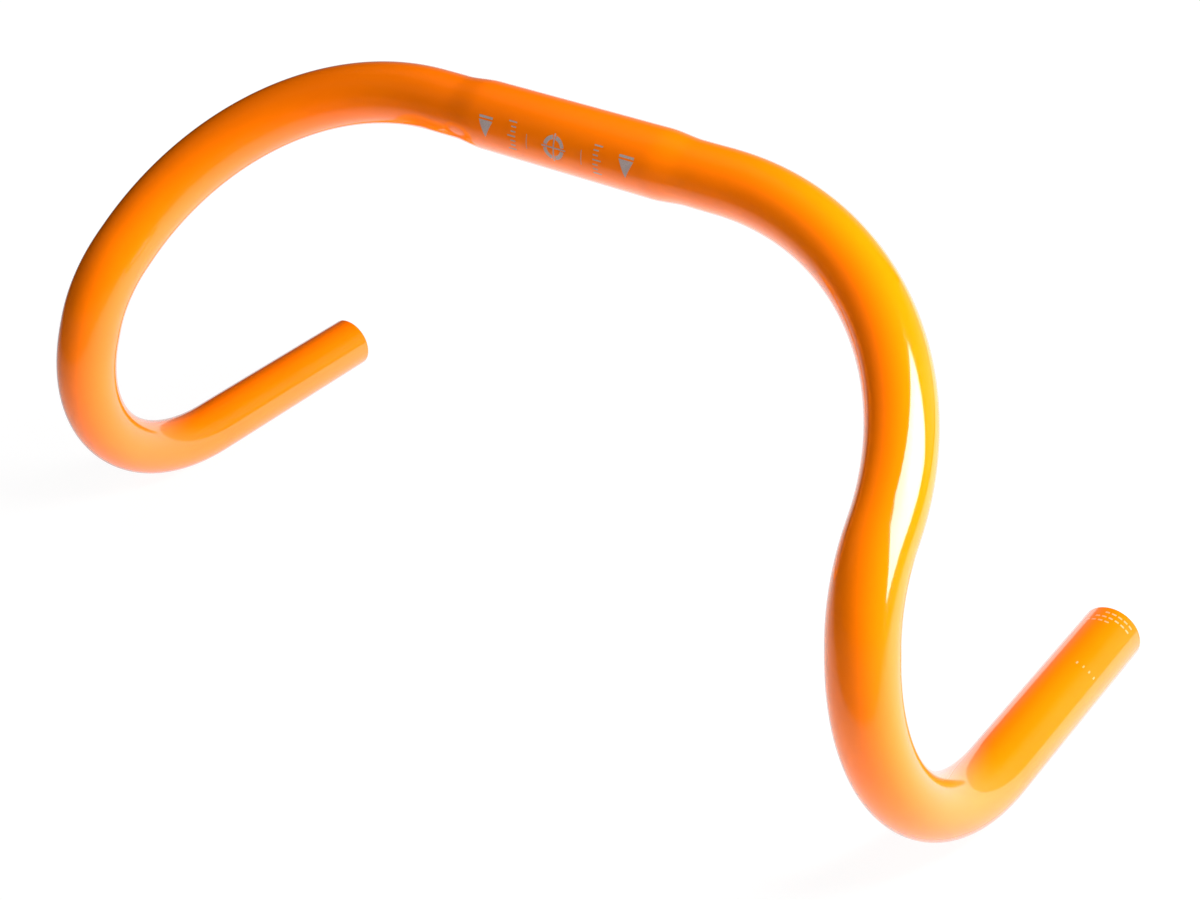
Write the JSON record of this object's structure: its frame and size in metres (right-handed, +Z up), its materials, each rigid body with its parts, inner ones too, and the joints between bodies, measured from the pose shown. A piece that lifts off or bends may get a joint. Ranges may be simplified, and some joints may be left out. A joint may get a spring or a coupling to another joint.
{
  "type": "track drop handlebar",
  "caption": "Track drop handlebar bent from one glossy painted alloy tube, with swept tops, deep hooks, level straight drops and a bulged stem clamp.",
  "frame": {"origin": "centre of the stem clamp, on the clamp's axis, midway between the two sides", "axes": "+X along the clamp to the rider's left, -Y forwards in the direction of travel, +Z up, with the straight drops level and running back along +Y"},
  "size_m": [0.4238, 0.1808, 0.2086],
  "materials": {
    "orange_paint": "gloss"
  },
  "bodies": {
    "root": {"handlebar_tube": "orange_paint"}
  },
  "joints": []
}
